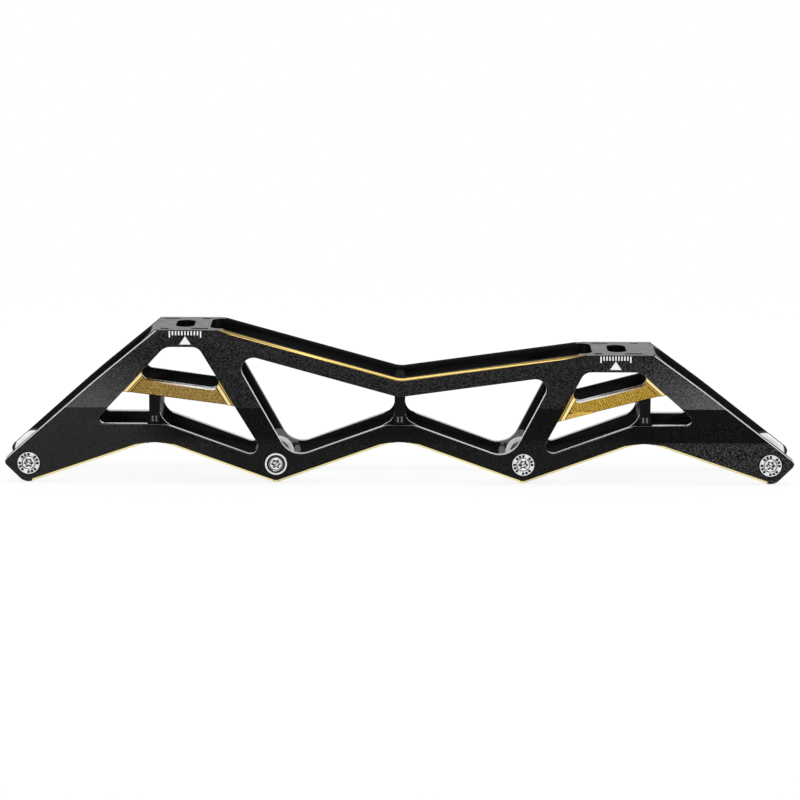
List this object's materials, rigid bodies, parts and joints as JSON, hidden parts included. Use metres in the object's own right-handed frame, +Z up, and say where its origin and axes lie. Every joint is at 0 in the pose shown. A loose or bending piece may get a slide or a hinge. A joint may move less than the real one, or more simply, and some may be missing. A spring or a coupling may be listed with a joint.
{
  "type": "inline skate frame",
  "caption": "Long inline skate frame: windowed side plates joined by posts, stepped slotted mount platforms, gold braces and screw-in axles, holds a row of wheels under a boot.",
  "frame": {"origin": "on the ground under the tips of the plates, at the middle of the wheelbase and of the width", "axes": "+X forward along the wheel line, +Y to the left, +Z up toward the boot"},
  "size_m": [0.3563, 0.0364, 0.0699],
  "materials": {
    "black_anodised": "matt anodised",
    "satin_grey": "satin, milled",
    "gold_anodised": "satin anodised",
    "steel": "bright turned"
  },
  "bodies": {
    "frame": {"right_side_plate": "black_anodised", "left_side_plate": "black_anodised", "rear_mount_platform": "satin_grey", "front_mount_platform": "satin_grey", "rear_cross_post": "black_anodised", "center_cross_post": "black_anodised", "front_cross_post": "black_anodised", "rear_right_brace": "gold_anodised", "rear_left_brace": "gold_anodised", "front_right_brace": "gold_anodised", "front_left_brace": "gold_anodised", "axle_inserts": "steel", "rear_mount_dowels": "steel", "front_mount_dowels": "steel", "rear_post_dowels": "steel", "center_post_dowels": "steel", "front_post_dowels": "steel"},
    "axle_1": {"axle_1": "steel"},
    "axle_2": {"axle_2": "steel"},
    "axle_3": {"axle_3": "steel"},
    "axle_4": {"axle_4": "steel"}
  },
  "joints": [
    {"name": "axle_1_pull", "type": "slide", "parent": "frame", "child": "axle_1", "axis": [0, -1, 0], "range_m": [0, 0.045]},
    {"name": "axle_2_pull", "type": "slide", "parent": "frame", "child": "axle_2", "axis": [0, -1, 0], "range_m": [0, 0.045]},
    {"name": "axle_3_pull", "type": "slide", "parent": "frame", "child": "axle_3", "axis": [0, -1, 0], "range_m": [0, 0.045]},
    {"name": "axle_4_pull", "type": "slide", "parent": "frame", "child": "axle_4", "axis": [0, -1, 0], "range_m": [0, 0.045]}
  ]
}
